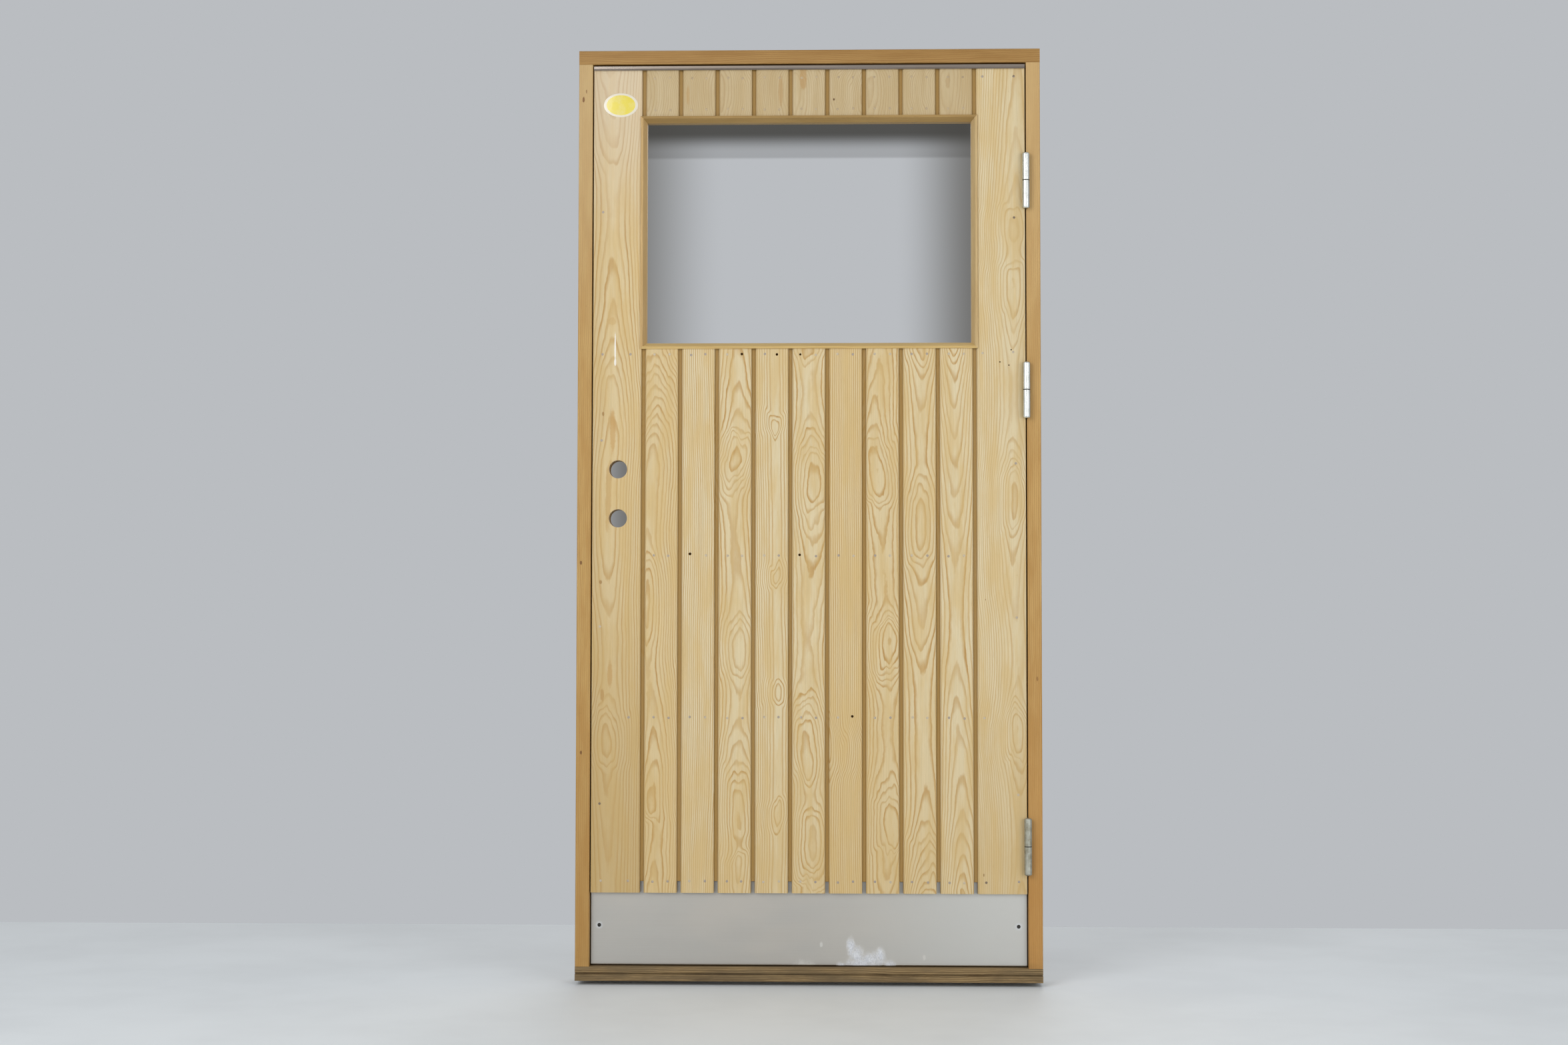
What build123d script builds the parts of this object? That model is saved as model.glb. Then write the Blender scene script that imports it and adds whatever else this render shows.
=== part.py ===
from build123d import *
import os

# A boarded exterior door leaf hung in its timber frame.
# X runs to the right seen from outside, Y runs inwards, Z runs up.
# The origin is the centre of the sill's underside. Lengths are in millimetres.

# Frame
frame_width = 990.0
frame_height = 1990.0
frame_depth = 92.0
jamb_face = 30.0
head_face = 30.0
stop_depth = 12.0
frame_arris = 2.0

# Sill
sill_height = 30.0
sill_upstand = 16.0
sill_lip_reach = 1.5
sill_groove_height = 15.5
sill_groove_width = 2.6
sill_groove_depth = 4.0
sill_arris = 1.2

# Gaps round the leaf
side_gap = 2.5
top_gap = 3.5
bottom_gap = 2.0
leaf_inset = 1.0
seal_gap = 4.0

# Leaf build-up
board_thickness = 15.0
core_thickness = 24.0
panel_thickness = 3.0
wide_board_width = 104.5

# Tongue-and-groove boards
board_count = 9
joint_width = 8.0
tongue_thickness = 5.0
tongue_grip = 5.0
tongue_drop = 5.5
tongue_clearance = 0.15
tongue_end_clearance = 0.5
tongue_side_round = 5.0
groove_side_round = 3.0
outer_edge_round = 2.0
board_end_rise = 154.0
notch_gap = 1.5

# Window
window_drop = 112.5
window_height = 496.5
lining_width = 10.0
lining_depth = 31.0
lining_proud = 3.0
lining_lip = 3.0
lining_strip = 2.0
lining_splay_depth = 13.0

# Rails
window_rail_height = 95.0
middle_rail_height = 80.0
bottom_rail_height = 200.0
middle_rail_shares = (0.32, 0.66)

# Kick plate
plate_thickness = 1.5
plate_height = 177.0
plate_return = 20.0
plate_bend_radius = 1.0
plate_clearance = 0.3
plate_screw_inset = 17.5
plate_screw_rise = 84.0

# Drip rail
drip_thickness = 1.5
drip_lip_height = 10.0
drip_nose_height = 4.0
drip_nose_reach = 2.5
drip_corner_radius = 1.2

# Lock preparation
lock_hole_radius = 19.5
lock_spacing = 105.0
lock_rise = 949.0
lock_backset = 55.0
lock_case_height = 165.0
lock_case_depth = 80.0
lock_case_thickness = 16.0
forend_height = 235.0
forend_width = 20.0
forend_thickness = 3.0

# Hinges
hinge_radius = 8.0
hinge_stand_off = 9.0
upper_knuckle = 59.0
lower_knuckle = 60.0
hinge_round = 4.0
hinge_edge_break = 0.6
washer_thickness = 1.4
washer_inset = 0.3
pin_radius = 5.0
pin_in_frame = 42.0
pin_in_leaf = 46.0
pin_edge_break = 1.0
pin_running_clearance = 0.05
pin_press_clearance = 0.02
pin_end_clearance = 1.0
lift_clearance = 0.05
flag_thickness = 2.5
flag_mortise = 1.2
flag_depth = 37.0
flag_corner_radius = 6.0
flag_clearance = 0.2
upper_hinge_drop = 253.0
middle_hinge_drop = 702.0
lower_hinge_rise = 255.0

# Screws
screw_head_radius = 4.0
screw_shank_radius = 2.0
screw_head_height = 2.0
hinge_screw_length = 26.0
plate_screw_length = 20.0
corner_screw_length = 70.0
screw_clearance = 0.05
hinge_screw_pitch = 19.0
hinge_screw_inset = 7.0
hinge_screw_stagger = 9.0
corner_screw_inset = 15.0
corner_screw_spread = 25.0

# Weather seal
kerf_width = 3.0
kerf_depth = 6.5
seal_stem_width = 2.6
seal_stem_depth = 6.0
seal_bulb_width = 7.0
seal_bulb_round = 1.5
seal_clearance = 0.3
seal_end_clearance = 0.2

# Holes for the screws that fix the frame to a wall
fixing_radius = 7.0
fixing_end = 150.0
fixing_spacing = 480.0
fixing_depth = 36.0

# One overrun for every cut that passes through a face
overrun = 2.0

# Places worked out from the sizes above
frame_front = -frame_depth / 2
frame_back = frame_depth / 2
frame_side = frame_width / 2
jamb_edge = frame_side - jamb_face
stop_edge = jamb_edge - stop_depth
head_under = frame_height - head_face
leaf_side = jamb_edge - side_gap
leaf_bottom = sill_height + bottom_gap
leaf_top = head_under - top_gap
leaf_front = frame_front + leaf_inset
core_front = leaf_front + board_thickness
core_back = core_front + core_thickness
leaf_back = core_back + panel_thickness
stop_face = leaf_back + seal_gap
core_bottom = leaf_bottom + plate_thickness
board_top = leaf_top - drip_thickness
board_bottom = leaf_bottom + board_end_rise
plate_top = leaf_bottom + plate_height
plate_back = core_front + plate_thickness
stile_edge = leaf_side - wide_board_width
board_face = (2 * stile_edge - (board_count + 1) * joint_width) / board_count
window_top = leaf_top - window_drop
window_bottom = window_top - window_height
window_rail_under = window_bottom - window_rail_height
bottom_rail_top = core_bottom + bottom_rail_height
tongue_start = plate_top + notch_gap
lock_x = -leaf_side + lock_backset
lock_heights = (leaf_bottom + lock_rise, leaf_bottom + lock_rise + lock_spacing)
lock_middle = sum(lock_heights) / len(lock_heights)
core_middle = (core_front + core_back) / 2
hinge_x = leaf_side + side_gap / 2
hinge_y = frame_front - hinge_stand_off
hinge_heights = {
    "upper": leaf_top - upper_hinge_drop,
    "middle": leaf_top - middle_hinge_drop,
    "lower": leaf_bottom + lower_hinge_rise,
}
flag_end = leaf_front + flag_depth
leaf_flag_back = leaf_side - flag_mortise
leaf_flag_face = leaf_flag_back + flag_thickness
frame_flag_back = jamb_edge + flag_mortise
frame_flag_face = frame_flag_back - flag_thickness
seal_tip = leaf_back + seal_clearance
side_kerf_x = (leaf_side + stop_edge) / 2
head_kerf_z = (leaf_top + head_under - stop_depth) / 2
sill_stop_top = sill_height + sill_upstand
sill_kerf_z = (leaf_bottom + sill_stop_top) / 2
bottom_align = (Align.CENTER, Align.CENTER, Align.MIN)
to_right = (1, 0, 0)
to_left = (-1, 0, 0)
inwards = (0, 1, 0)
upwards = (0, 0, 1)
downwards = (0, 0, -1)

os.makedirs("parts", exist_ok=True)


def save(node, shape):
    shape.label = node
    export_step(shape, f"parts/{node}.step")


def block(x_span, y_span, z_span):
    spans = (x_span, y_span, z_span)
    middle = [(low + high) / 2 for low, high in spans]
    size = [high - low for low, high in spans]
    return Pos(*middle) * Box(*size)


def rod(start, direction, length, radius):
    return Plane(origin=start, z_dir=direction) * Cylinder(radius, length, align=bottom_align)


def face_of(points):
    return make_face(Polyline(*points, close=True))


def along_x(section, low, high):
    # A section drawn as (y, z) points, run from one X to another.
    return Pos(low, 0, 0) * extrude(Plane.YZ * section, high - low)


def along_z(section, low, high):
    # A section drawn as (x, y) points, run from one height to another.
    return Pos(0, 0, low) * extrude(section, high - low)


def eased(section, places, radius):
    # Rounds the section's corners that lie at the given places.
    corners = [section.vertices().sort_by_distance(Vector(*place, 0))[0] for place in places]
    return fillet(corners, radius)


def cut_all(shape, tools):
    for tool in tools:
        shape = shape - tool
    return shape


def screw(place, direction, length):
    head = Cone(screw_head_radius, screw_shank_radius, screw_head_height, align=bottom_align)
    shank_length = length - screw_head_height
    shank = Pos(0, 0, screw_head_height) * Cylinder(screw_shank_radius, shank_length, align=bottom_align)
    return Plane(origin=place, z_dir=direction) * (head + shank)


def screw_hole(place, direction, length):
    wide = screw_head_radius + screw_clearance
    narrow = screw_shank_radius + screw_clearance
    mouth = Pos(0, 0, -overrun) * Cylinder(wide, overrun, align=bottom_align)
    sink = Cone(wide, narrow, screw_head_height, align=bottom_align)
    drill = Cylinder(narrow, length + screw_clearance, align=bottom_align)
    return Plane(origin=place, z_dir=direction) * (mouth + sink + drill)


# Screw places, shared by the screws and by every hole that takes them

def hinge_screw_places(knuckle_low, knuckle_high, face_x):
    middle = (knuckle_low + knuckle_high) / 2
    near = flag_end - hinge_screw_inset
    far = near - hinge_screw_stagger
    return [
        (face_x, far, middle - hinge_screw_pitch),
        (face_x, near, middle),
        (face_x, far, middle + hinge_screw_pitch),
    ]


def leaf_knuckle(split):
    low = split + washer_thickness / 2 + lift_clearance
    return low, low + upper_knuckle


def frame_knuckle(split):
    high = split - washer_thickness / 2
    return high - lower_knuckle, high


leaf_screw_places = []
frame_screw_places = []
for split_height in hinge_heights.values():
    leaf_screw_places += hinge_screw_places(*leaf_knuckle(split_height), leaf_flag_face)
    frame_screw_places += hinge_screw_places(*frame_knuckle(split_height), frame_flag_face)

corner_places = []
for corner_side in (-1, 1):
    for corner_y in (-corner_screw_spread, corner_screw_spread):
        corner_places.append((corner_side * (frame_side - corner_screw_inset), corner_y))
head_screws = [((x, y, frame_height), downwards) for x, y in corner_places]
sill_screws = [((x, y, 0), upwards) for x, y in corner_places]
corner_holes = [screw_hole(place, way, corner_screw_length) for place, way in head_screws + sill_screws]

plate_screw_places = []
for plate_side in (-1, 1):
    plate_screw_x = plate_side * (leaf_side - plate_screw_inset)
    plate_screw_places.append((plate_screw_x, core_front, leaf_bottom + plate_screw_rise))
plate_holes = [screw_hole(place, inwards, plate_screw_length) for place in plate_screw_places]


# Hinges: flag plates let into the leaf and the jamb, and knuckles on a fixed pin

def flag(back_x, face_x, knuckle, grow):
    # The plate from the hinge axis to its rounded end in the rebate, or the recess that takes it.
    low = min(back_x, face_x)
    high = max(back_x, face_x)
    height = (knuckle[0] - grow, knuckle[1] + grow)
    plate = block((low, high), (hinge_y, flag_end + grow), height)
    ends = plate.edges().filter_by(Axis.X).group_by(Axis.Y)[-1]
    return fillet(ends, flag_corner_radius)


leaf_recesses = []
frame_recesses = []
leaf_mouth = leaf_side + overrun
frame_mouth = jamb_edge - overrun
for split_height in hinge_heights.values():
    leaf_recesses.append(flag(leaf_flag_back, leaf_mouth, leaf_knuckle(split_height), flag_clearance))
    frame_recesses.append(flag(frame_flag_back, frame_mouth, frame_knuckle(split_height), flag_clearance))
leaf_screw_holes = [screw_hole(place, to_left, hinge_screw_length) for place in leaf_screw_places]
frame_screw_holes = [screw_hole(place, to_right, hinge_screw_length) for place in frame_screw_places]


def knuckle_barrel(low, high, round_end, flat_end):
    barrel = rod((hinge_x, hinge_y, low), upwards, high - low, hinge_radius)
    rims = barrel.edges().filter_by(GeomType.CIRCLE).sort_by(Axis.Z)
    barrel = fillet(rims[round_end], hinge_round)
    rims = barrel.edges().filter_by(GeomType.CIRCLE).sort_by(Axis.Z)
    return chamfer(rims[flat_end], hinge_edge_break)


def hinge_leaf_half(split):
    low, high = leaf_knuckle(split)
    half = knuckle_barrel(low, high, -1, 0) + flag(leaf_flag_back, leaf_flag_face, (low, high), 0)
    bore_length = pin_in_leaf + pin_end_clearance
    half = half - rod((hinge_x, hinge_y, low), upwards, bore_length, pin_radius + pin_running_clearance)
    return cut_all(half, leaf_screw_holes)


def hinge_frame_half(split):
    low, high = frame_knuckle(split)
    half = knuckle_barrel(low, high, 0, -1) + flag(frame_flag_back, frame_flag_face, (low, high), 0)
    bore_start = (hinge_x, hinge_y, high - pin_in_frame)
    half = half - rod(bore_start, upwards, pin_in_frame, pin_radius + pin_press_clearance)
    return cut_all(half, frame_screw_holes)


def hinge_pin(split):
    start = split - washer_thickness / 2 - pin_in_frame
    length = pin_in_frame + washer_thickness + pin_in_leaf
    pin = rod((hinge_x, hinge_y, start), upwards, length, pin_radius)
    tip = pin.edges().filter_by(GeomType.CIRCLE).sort_by(Axis.Z)[-1]
    return chamfer(tip, pin_edge_break)


def hinge_washer(split):
    start = (hinge_x, hinge_y, split - washer_thickness / 2)
    disc = rod(start, upwards, washer_thickness, hinge_radius - washer_inset)
    return disc - rod(start, upwards, washer_thickness, pin_radius + pin_running_clearance)


for hinge_name, split_height in hinge_heights.items():
    save(f"hinge_{hinge_name}_leaf_half", hinge_leaf_half(split_height))
    save(f"hinge_{hinge_name}_frame_half", hinge_frame_half(split_height))
    save(f"hinge_{hinge_name}_pin", hinge_pin(split_height))

washers = [hinge_washer(split_height) for split_height in hinge_heights.values()]
save("hinge_washers", Compound(washers))
leaf_screws = [screw(place, to_left, hinge_screw_length) for place in leaf_screw_places]
save("hinge_screws_leaf", Compound(leaf_screws))
frame_screws = [screw(place, to_right, hinge_screw_length) for place in frame_screw_places]
save("hinge_screws_frame", Compound(frame_screws))


# Frame: two jambs between a sill and a head, rebated for the leaf and kerfed for its seal

def jamb_blank():
    corners = [
        (frame_side, frame_front),
        (jamb_edge, frame_front),
        (jamb_edge, stop_face),
        (stop_edge, stop_face),
        (stop_edge, frame_back),
        (frame_side, frame_back),
    ]
    section = eased(face_of(corners), [corners[0], corners[1], corners[4]], frame_arris)
    blank = along_z(section, sill_height, head_under)
    kerf_x = (side_kerf_x - kerf_width / 2, side_kerf_x + kerf_width / 2)
    kerf_z = (sill_height - overrun, head_under + overrun)
    return blank - block(kerf_x, (stop_face - overrun, stop_face + kerf_depth), kerf_z)


def wall_fixings(side):
    y = frame_front + fixing_depth
    low = fixing_end
    high = frame_height - fixing_end
    heights = (low, low + fixing_spacing, high - fixing_spacing, high)
    start = side * (jamb_edge - overrun)
    way = to_right if side > 0 else to_left
    return [rod((start, y, z), way, jamb_face + 2 * overrun, fixing_radius) for z in heights]


hinge_jamb = cut_all(jamb_blank(), wall_fixings(1) + corner_holes + frame_recesses + frame_screw_holes)
save("frame_jamb_hinge", hinge_jamb)
lock_jamb = cut_all(mirror(jamb_blank(), about=Plane.YZ), wall_fixings(-1) + corner_holes)
save("frame_jamb_lock", lock_jamb)


def frame_head():
    corners = [
        (frame_front, head_under),
        (frame_front, frame_height),
        (frame_back, frame_height),
        (frame_back, head_under),
    ]
    section = eased(face_of(corners), corners[:2], frame_arris)
    head = along_x(section, -frame_side, frame_side)
    stop_under = head_under - stop_depth
    head = head + block((-stop_edge, stop_edge), (stop_face, frame_back), (stop_under, head_under))
    kerf_z = (head_kerf_z - kerf_width / 2, head_kerf_z + kerf_width / 2)
    kerf_y = (stop_face - overrun, stop_face + kerf_depth)
    head = head - block((-stop_edge - overrun, stop_edge + overrun), kerf_y, kerf_z)
    return cut_all(head, corner_holes)


save("frame_head", frame_head())


def frame_sill():
    lip_front = frame_front - sill_lip_reach
    groove_low = sill_groove_height - sill_groove_width / 2
    groove_high = sill_groove_height + sill_groove_width / 2
    groove_back = frame_front + sill_groove_depth
    corners = [
        (lip_front, 0),
        (lip_front, groove_low),
        (groove_back, groove_low),
        (groove_back, groove_high),
        (frame_front, groove_high),
        (frame_front, sill_height),
        (frame_back, sill_height),
        (frame_back, 0),
    ]
    section = eased(face_of(corners), [corners[0], corners[1], corners[4], corners[5]], sill_arris)
    sill = along_x(section, -frame_side, frame_side)
    sill = sill + block((-stop_edge, stop_edge), (stop_face, frame_back), (sill_height, sill_stop_top))
    kerf_z = (sill_kerf_z - kerf_width / 2, sill_kerf_z + kerf_width / 2)
    kerf_y = (stop_face - overrun, stop_face + kerf_depth)
    sill = sill - block((-stop_edge - overrun, stop_edge + overrun), kerf_y, kerf_z)
    return cut_all(sill, corner_holes)


save("frame_sill", frame_sill())

corner_screws = [screw(place, way, corner_screw_length) for place, way in head_screws + sill_screws]
save("frame_corner_screws", Compound(corner_screws))


# Weather seal: a stem pressed into the kerf and a bulb that stands just clear of the closed leaf

def seal_corners(middle):
    # Pairs of width and depth, about the kerf's centre line, the two rounded corners first.
    half_bulb = seal_bulb_width / 2
    half_stem = seal_stem_width / 2
    stem_end = stop_face + seal_stem_depth
    return [
        (middle - half_bulb, seal_tip),
        (middle + half_bulb, seal_tip),
        (middle + half_bulb, stop_face),
        (middle + half_stem, stop_face),
        (middle + half_stem, stem_end),
        (middle - half_stem, stem_end),
        (middle - half_stem, stop_face),
        (middle - half_bulb, stop_face),
    ]


def seal_section(corners):
    return eased(face_of(corners), corners[:2], seal_bulb_round)


seal_low = sill_height + seal_end_clearance
seal_high = head_under - seal_end_clearance
hinge_seal = along_z(seal_section(seal_corners(side_kerf_x)), seal_low, seal_high)
save("weather_seal_hinge", hinge_seal)
save("weather_seal_lock", mirror(hinge_seal, about=Plane.YZ))

seal_reach = stop_edge - seal_end_clearance
for seal_name, seal_z in (("head", head_kerf_z), ("sill", sill_kerf_z)):
    lying_corners = [(depth, width) for width, depth in seal_corners(seal_z)]
    save(f"weather_seal_{seal_name}", along_x(seal_section(lying_corners), -seal_reach, seal_reach))


# Leaf core: two stiles with five rails between them

core_depth = (core_front, core_back)
plate_recess = block(
    (-leaf_side - overrun, leaf_side + overrun),
    (core_front - overrun, plate_back),
    (core_bottom - overrun, plate_top + plate_clearance),
)
bend_relief = block(
    (-leaf_side - overrun, leaf_side + overrun),
    (plate_back - overrun, plate_back + plate_bend_radius),
    (core_bottom - overrun, core_bottom + plate_bend_radius),
)
lock_holes = []
for lock_z in lock_heights:
    lock_start = (lock_x, leaf_front - overrun, lock_z)
    lock_length = leaf_back - leaf_front + 2 * overrun
    lock_holes.append(rod(lock_start, inwards, lock_length, lock_hole_radius))


def edge_pocket(depth, width, height):
    # A round-ended pocket let into the lock edge, centred on the core and on the two lock holes.
    slot = SlotOverall(height, width)
    mouth = Plane(origin=(-leaf_side - overrun, core_middle, lock_middle), x_dir=upwards, z_dir=to_right)
    return extrude(mouth * slot, depth + overrun)


lock_pockets = [
    edge_pocket(lock_case_depth, lock_case_thickness, lock_case_height),
    edge_pocket(forend_thickness, forend_width, forend_height),
]
stile_blank = block((stile_edge, leaf_side), core_depth, (core_bottom, leaf_top))
stile_blank = cut_all(stile_blank, [plate_recess, bend_relief] + plate_holes)
save("stile_hinge", cut_all(stile_blank, leaf_recesses + leaf_screw_holes))
save("stile_lock", cut_all(mirror(stile_blank, about=Plane.YZ), lock_holes + lock_pockets))


def rail(low, high):
    return block((-stile_edge, stile_edge), core_depth, (low, high))


save("rail_top", rail(window_top, leaf_top))
save("rail_window", rail(window_rail_under, window_bottom))
save("rail_bottom", cut_all(rail(core_bottom, bottom_rail_top), [plate_recess, bend_relief]))
rail_span = window_rail_under - bottom_rail_top
for rail_name, rail_share in zip(("lower", "upper"), middle_rail_shares):
    rail_middle = bottom_rail_top + rail_share * rail_span
    save(
        f"rail_middle_{rail_name}",
        rail(rail_middle - middle_rail_height / 2, rail_middle + middle_rail_height / 2),
    )


# Outer boards: tongue on the lock side, groove on the hinge side

tongue_front = leaf_front + tongue_drop
tongue_back = tongue_front + tongue_thickness


def board_blank(left, right, low, high, left_round, right_round):
    corners = [(left, leaf_front), (right, leaf_front), (right, core_front), (left, core_front)]
    section = eased(face_of(corners), corners[:1], left_round)
    section = eased(section, corners[1:2], right_round)
    return along_z(section, low, high)


def tongue(left, low, high):
    return block((left - joint_width - tongue_grip, left), (tongue_front, tongue_back), (low, high))


def groove(right, low, high):
    depth = tongue_grip + tongue_end_clearance
    y_span = (tongue_front - tongue_clearance, tongue_back + tongue_clearance)
    return block((right - depth, right + overrun), y_span, (low - overrun, high + overrun))


def tongued_board(left, right, low, high, tongue_low):
    blank = board_blank(left, right, low, high, tongue_side_round, groove_side_round)
    return blank - groove(right, low, high) + tongue(left, tongue_low, high)


for board_number in range(1, board_count + 1):
    board_left = -stile_edge + joint_width + (board_number - 1) * (board_face + joint_width)
    board_right = board_left + board_face
    long_board = tongued_board(board_left, board_right, board_bottom, window_bottom, tongue_start)
    save(f"board_long_{board_number}", long_board)
    short_board = tongued_board(board_left, board_right, window_top, board_top, window_top)
    save(f"board_short_{board_number}", short_board)

wide_lock = board_blank(
    -leaf_side, -stile_edge, board_bottom, board_top, outer_edge_round, groove_side_round
)
wide_lock = wide_lock - groove(-stile_edge, board_bottom, board_top)
save("board_wide_lock", cut_all(wide_lock, lock_holes))

wide_hinge = board_blank(
    stile_edge, leaf_side, board_bottom, board_top, tongue_side_round, outer_edge_round
)
wide_hinge = wide_hinge + tongue(stile_edge, tongue_start, window_bottom)
wide_hinge = wide_hinge + tongue(stile_edge, window_top, board_top)
save("board_wide_hinge", cut_all(wide_hinge, leaf_recesses))


# Window lining: four splayed members, mitred at the corners, with a lip that laps the boards
# and an empty rebate for a pane behind them

lining_front = leaf_front - lining_proud
lining_back = lining_front + lining_depth
lining_outline = [
    (-lining_lip, lining_front),
    (lining_strip, lining_front),
    (lining_width, lining_front + lining_splay_depth),
    (lining_width, lining_back),
    (0, lining_back),
    (0, leaf_front),
    (-lining_lip, leaf_front),
]
lip_x = stile_edge + lining_lip
lip_low = window_bottom - lining_lip
lip_high = window_top + lining_lip


def mitre(corners):
    # A prism through the leaf whose outline in the door's plane has the member's slanted ends.
    outline = Plane.XZ * face_of(corners)
    return Pos(0, lining_back, 0) * extrude(outline, lining_depth)


def lining_level(outer_z, lip_z, inner_sign):
    inner_z = outer_z + inner_sign * lining_width
    inner_x = stile_edge - lining_width
    section = face_of([(y, outer_z + inner_sign * u) for u, y in lining_outline])
    ends = mitre([(-lip_x, lip_z), (lip_x, lip_z), (inner_x, inner_z), (-inner_x, inner_z)])
    return along_x(section, -lip_x, lip_x) & ends


def lining_upright(outer_x, outer_lip_x, inner_sign):
    inner_x = outer_x + inner_sign * lining_width
    inner_low = window_bottom + lining_width
    inner_high = window_top - lining_width
    section = face_of([(outer_x + inner_sign * u, y) for u, y in lining_outline])
    ends = mitre(
        [(outer_lip_x, lip_low), (outer_lip_x, lip_high), (inner_x, inner_high), (inner_x, inner_low)]
    )
    return along_z(section, lip_low, lip_high) & ends


save("window_lining_head", lining_level(window_top, lip_high, -1))
save("window_lining_sill", lining_level(window_bottom, lip_low, 1))
save("window_lining_lock", lining_upright(-stile_edge, -lip_x, 1))
save("window_lining_hinge", lining_upright(stile_edge, lip_x, -1))


# Back panel: four plain sheets round the window, butted over the stiles and rails

def panel_sheet(x_low, x_high, z_low, z_high):
    return block((x_low, x_high), (core_back, leaf_back), (z_low, z_high))


lower_sheet = panel_sheet(-leaf_side, leaf_side, core_bottom, window_bottom)
hinge_sheet = panel_sheet(stile_edge, leaf_side, window_bottom, window_top)
save("back_panel_upper", panel_sheet(-leaf_side, leaf_side, window_top, leaf_top))
save("back_panel_lower", cut_all(lower_sheet, lock_holes))
save("back_panel_hinge", hinge_sheet)
save("back_panel_lock", mirror(hinge_sheet, about=Plane.YZ))


# Kick plate: a folded sheet over the bottom rail, tucked up behind the ends of the boards

plate_corners = [
    (core_front, plate_top),
    (core_front, leaf_bottom),
    (core_front + plate_return, leaf_bottom),
    (core_front + plate_return, core_bottom),
    (plate_back, core_bottom),
    (plate_back, plate_top),
]
plate_section = eased(face_of(plate_corners), [plate_corners[1]], plate_bend_radius + plate_thickness)
plate_section = eased(plate_section, [plate_corners[4]], plate_bend_radius)
kick_plate = along_x(plate_section, -leaf_side, leaf_side)
save("kick_plate", cut_all(kick_plate, plate_holes))
plate_screws = [screw(place, inwards, plate_screw_length) for place in plate_screw_places]
save("kick_plate_screws", Compound(plate_screws))


# Drip rail: a thin angle over the boards' top ends, kicked forward along its lower edge

lip_front = leaf_front - drip_thickness
lip_bottom = leaf_top - drip_lip_height
nose_top = lip_bottom + drip_nose_height
drip_corners = [
    (core_front, leaf_top),
    (lip_front, leaf_top),
    (lip_front, nose_top),
    (lip_front - drip_nose_reach, lip_bottom),
    (leaf_front - drip_nose_reach, lip_bottom),
    (leaf_front, nose_top),
    (leaf_front, board_top),
    (core_front, board_top),
]
drip_section = eased(face_of(drip_corners), [drip_corners[1]], drip_corner_radius)
save("drip_rail", along_x(drip_section, -leaf_side, leaf_side))
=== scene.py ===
import math
import random
import bmesh
import bpy
from mathutils import Matrix, Vector


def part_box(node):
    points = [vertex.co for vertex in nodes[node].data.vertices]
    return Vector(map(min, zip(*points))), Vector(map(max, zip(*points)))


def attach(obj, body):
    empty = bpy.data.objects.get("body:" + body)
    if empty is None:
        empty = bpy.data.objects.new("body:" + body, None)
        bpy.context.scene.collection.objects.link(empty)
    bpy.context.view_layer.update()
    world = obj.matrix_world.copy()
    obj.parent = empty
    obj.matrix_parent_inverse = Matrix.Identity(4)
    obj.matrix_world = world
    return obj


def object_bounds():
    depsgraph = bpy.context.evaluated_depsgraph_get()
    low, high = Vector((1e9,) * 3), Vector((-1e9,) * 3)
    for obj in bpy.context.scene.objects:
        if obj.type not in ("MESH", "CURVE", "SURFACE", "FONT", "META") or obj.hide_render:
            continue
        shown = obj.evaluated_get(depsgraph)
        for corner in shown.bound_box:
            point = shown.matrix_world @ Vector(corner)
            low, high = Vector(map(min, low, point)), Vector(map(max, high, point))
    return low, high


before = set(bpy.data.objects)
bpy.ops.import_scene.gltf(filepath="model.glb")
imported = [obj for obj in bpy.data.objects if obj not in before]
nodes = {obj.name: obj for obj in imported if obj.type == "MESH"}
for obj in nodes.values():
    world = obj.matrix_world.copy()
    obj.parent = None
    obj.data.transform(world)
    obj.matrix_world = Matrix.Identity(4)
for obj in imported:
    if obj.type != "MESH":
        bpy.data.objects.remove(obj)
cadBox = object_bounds()
print("stage: frame loaded,", len(nodes), "nodes")

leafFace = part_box("board_long_1")[0].y  # front of the boards
boardTongue = 0.013  # a tongue's reach past its board's face


# node helpers

def put(tree, kind, **values):
    node = tree.nodes.new(kind)
    for key, value in values.items():
        setattr(node, key, value)
    return node


def feed(tree, socket, value):
    # a socket is linked, anything else is set as the value
    if isinstance(value, bpy.types.NodeSocket):
        tree.links.new(value, socket)
    else:
        socket.default_value = value


def calc(tree, operation, a, b=None):
    node = put(tree, "ShaderNodeMath", operation=operation)
    for socket, value in zip(node.inputs, (a, b)):
        if value is not None:
            feed(tree, socket, value)
    return node.outputs[0]


def spread(tree, value, low, high, outLow=0.0, outHigh=1.0, kind="SMOOTHSTEP"):
    node = put(tree, "ShaderNodeMapRange", interpolation_type=kind, clamp=True)
    for socket, item in zip(node.inputs, (value, low, high, outLow, outHigh)):
        feed(tree, socket, item)
    return node.outputs[0]


def blendColour(tree, factor, a, b, mode="MIX"):
    node = put(tree, "ShaderNodeMix", data_type="RGBA", blend_type=mode)
    feed(tree, node.inputs[0], factor)
    feed(tree, node.inputs[6], a)
    feed(tree, node.inputs[7], b)
    return node.outputs[2]


def noise(tree, vector, scale, detail=2.0, rough=0.5, w=None):
    node = put(tree, "ShaderNodeTexNoise", noise_dimensions="3D" if w is None else "4D")
    feed(tree, node.inputs["Vector"], vector)
    feed(tree, node.inputs["Scale"], scale)
    feed(tree, node.inputs["Detail"], detail)
    feed(tree, node.inputs["Roughness"], rough)
    if w is not None:
        feed(tree, node.inputs["W"], w)
    return node.outputs[0]


def stretch(tree, vector, scale):
    node = put(tree, "ShaderNodeVectorMath", operation="MULTIPLY")
    feed(tree, node.inputs[0], vector)
    feed(tree, node.inputs[1], scale)
    return node.outputs[0]


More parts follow.
